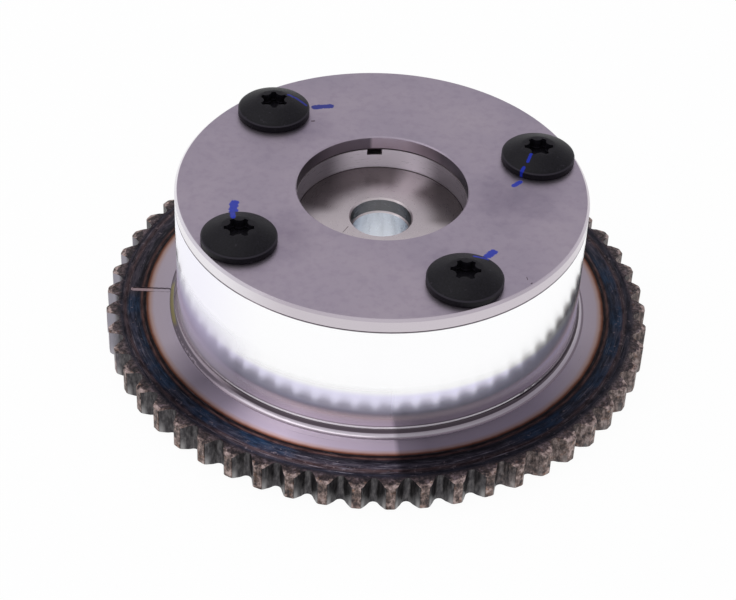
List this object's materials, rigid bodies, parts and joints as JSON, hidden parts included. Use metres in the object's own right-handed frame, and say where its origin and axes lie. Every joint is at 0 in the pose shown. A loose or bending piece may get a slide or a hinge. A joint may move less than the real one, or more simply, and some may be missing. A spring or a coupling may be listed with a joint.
{
  "type": "cam phaser",
  "caption": "Vane-type cam phaser: toothed chain flange with polished drum, ground front cover held by large-flange screws, and a vaned rotor with stepped centre bore inside.",
  "frame": {"origin": "on the cam axis in the plane of the sprocket's rear face, which is the lowest point of the part", "axes": "+Z along the cam axis from the sprocket towards the front cover; the picture is taken from the -Y side, with +X to the right"},
  "size_m": [0.1108, 0.1108, 0.0378],
  "materials": {
    "housing_steel": "polished drum, satin flange, induction-hardened teeth with heat tint",
    "cover_steel": "ground satin steel",
    "rotor_steel": "fine turned steel",
    "screw_black": "black oxide",
    "seal_polymer": "moulded",
    "spring_steel": "tempered spring steel",
    "pin_steel": "ground hardened steel"
  },
  "bodies": {
    "housing": {"housing_sprocket": "housing_steel", "front_cover": "cover_steel", "cover_screw_1": "screw_black", "cover_screw_2": "screw_black", "cover_screw_3": "screw_black", "cover_screw_4": "screw_black", "lobe_seal_1": "seal_polymer", "lobe_seal_2": "seal_polymer", "lobe_seal_3": "seal_polymer", "lobe_seal_4": "seal_polymer", "lobe_spring_1": "spring_steel", "lobe_spring_2": "spring_steel", "lobe_spring_3": "spring_steel", "lobe_spring_4": "spring_steel", "lock_bush": "pin_steel"},
    "rotor": {"rotor": "rotor_steel", "vane_seal_1": "seal_polymer", "vane_seal_2": "seal_polymer", "vane_seal_3": "seal_polymer", "vane_seal_4": "seal_polymer", "vane_spring_1": "spring_steel", "vane_spring_2": "spring_steel", "vane_spring_3": "spring_steel", "vane_spring_4": "spring_steel", "spring_retainer": "pin_steel"},
    "lock_pin": {"lock_pin": "pin_steel", "lock_spring": "spring_steel"}
  },
  "joints": [
    {"name": "phase_hinge", "type": "hinge", "parent": "housing", "child": "rotor", "pos_m": [0, 0, 0], "axis": [0, 0, -1], "range_deg": [0, 25]},
    {"name": "lock_pin_slide", "type": "slide", "parent": "rotor", "child": "lock_pin", "axis": [0, 0, 1], "range_m": [0, 0.002], "deforming": ["lock_spring"]}
  ]
}
